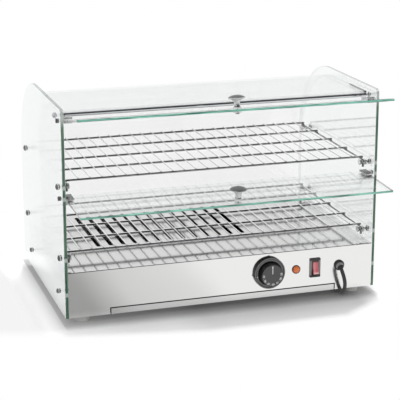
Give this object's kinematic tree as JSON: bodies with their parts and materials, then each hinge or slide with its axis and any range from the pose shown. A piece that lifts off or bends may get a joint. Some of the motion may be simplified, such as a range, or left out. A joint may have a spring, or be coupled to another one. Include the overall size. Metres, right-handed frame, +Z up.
{
  "type": "heated display case",
  "caption": "Counter-top heated glass display case: curved clear top and back, hinged glass flaps, lift-out wire shelves over a slotted warm deck, controls on the base.",
  "frame": {"origin": "on the worktop, under the middle of the case with both flaps open as in the picture", "axes": "+X to the right and +Y to the back as seen from the controls, +Z up"},
  "size_m": [0.5976, 0.596, 0.4098],
  "materials": {
    "clear_glass": "polished, ground edges",
    "flap_glass": "polished, ground edges",
    "clear_sheet": "clear, polished",
    "chrome": "polished",
    "shelf_wire": "polished",
    "screw_steel": "satin",
    "panel_steel": "brushed along the width",
    "deck_steel": "polished",
    "inner_steel": "satin",
    "element_sheath": "matte, dark from heat",
    "black_plastic": "satin",
    "dial_black": "semi gloss",
    "white_plastic": "satin",
    "clear_nylon": "satin",
    "lamp_orange": "clear orange",
    "rocker_red": "clear red",
    "soft_pad": "matte",
    "cord_rubber": "satin",
    "ceramic": "matte",
    "contact_brass": "polished",
    "lead_insulation": "matte"
  },
  "bodies": {
    "case": {"left_side_pane": "clear_glass", "right_side_pane": "clear_glass", "rear_top_sheet": "clear_sheet", "tie_rod": "chrome", "tie_rod_screws": "chrome", "shelf_stud_screws": "chrome", "base_side_screws": "chrome", "pane_grommets": "clear_nylon", "pivot_bushes": "clear_nylon", "base_nuts": "screw_steel", "shelf_studs": "chrome", "base_pan": "panel_steel", "deck_plate": "deck_steel", "sheet_screws": "screw_steel", "feet": "white_plastic", "foot_screws": "screw_steel", "tray_guides": "inner_steel", "thermostat_dial": "dial_black", "thermostat_body": "black_plastic", "thermostat_bulb": "contact_brass", "pilot_lamp_lens": "lamp_orange", "pilot_lamp_body": "black_plastic", "switch_housing": "black_plastic", "cord_gland": "black_plastic", "gland_nut": "black_plastic", "heat_shield": "inner_steel", "terminal_block": "ceramic", "heating_element": "element_sheath", "element_supports": "inner_steel", "inner_leads": "lead_insulation", "power_cord": "cord_rubber", "cord_coil": "cord_rubber", "plug_body": "black_plastic", "plug_pins": "contact_brass"},
    "upper_flap": {"upper_flap_glass": "flap_glass", "upper_flap_clamps": "chrome", "upper_clamp_pads": "soft_pad", "upper_clamp_screws": "screw_steel", "upper_pin_caps": "chrome", "upper_flap_knob": "chrome", "upper_knob_screw": "screw_steel", "upper_knob_washers": "chrome"},
    "lower_flap": {"lower_flap_glass": "flap_glass", "lower_flap_clamps": "chrome", "lower_clamp_pads": "soft_pad", "lower_clamp_screws": "screw_steel", "lower_pin_caps": "chrome", "lower_flap_knob": "chrome", "lower_knob_screw": "screw_steel", "lower_knob_washers": "chrome"},
    "thermostat_knob": {"thermostat_knob": "dial_black", "thermostat_shaft": "screw_steel"},
    "switch_rocker": {"switch_rocker": "rocker_red"},
    "crumb_tray": {"crumb_tray": "panel_steel"},
    "upper_shelf": {"upper_shelf": "shelf_wire"},
    "lower_shelf": {"lower_shelf": "shelf_wire"}
  },
  "joints": [
    {"name": "upper_flap_hinge", "type": "hinge", "parent": "case", "child": "upper_flap", "pos_m": [0, -0.1175, 0.365], "axis": [-1, 0, 0], "range_deg": [-101.3, 8.7]},
    {"name": "lower_flap_hinge", "type": "hinge", "parent": "case", "child": "lower_flap", "pos_m": [0, -0.1175, 0.2265], "axis": [-1, 0, 0], "range_deg": [-87.8, 8]},
    {"name": "thermostat_turn", "type": "hinge", "parent": "case", "child": "thermostat_knob", "pos_m": [0.0848, -0.155, 0.0601], "axis": [0, 1, 0], "range_deg": [-90, 190]},
    {"name": "switch_rock", "type": "hinge", "parent": "case", "child": "switch_rocker", "pos_m": [0.1756, -0.1371, 0.0601], "axis": [1, 0, 0], "range_deg": [0, 16]},
    {"name": "crumb_tray_slide", "type": "slide", "parent": "case", "child": "crumb_tray", "axis": [0, -1, 0], "range_m": [0, 0.25]},
    {"name": "upper_shelf_lift", "type": "slide", "parent": "case", "child": "upper_shelf", "axis": [0, 0, 1], "range_m": [0, 0.02]},
    {"name": "lower_shelf_lift", "type": "slide", "parent": "case", "child": "lower_shelf", "axis": [0, 0, 1], "range_m": [0, 0.02]}
  ]
}
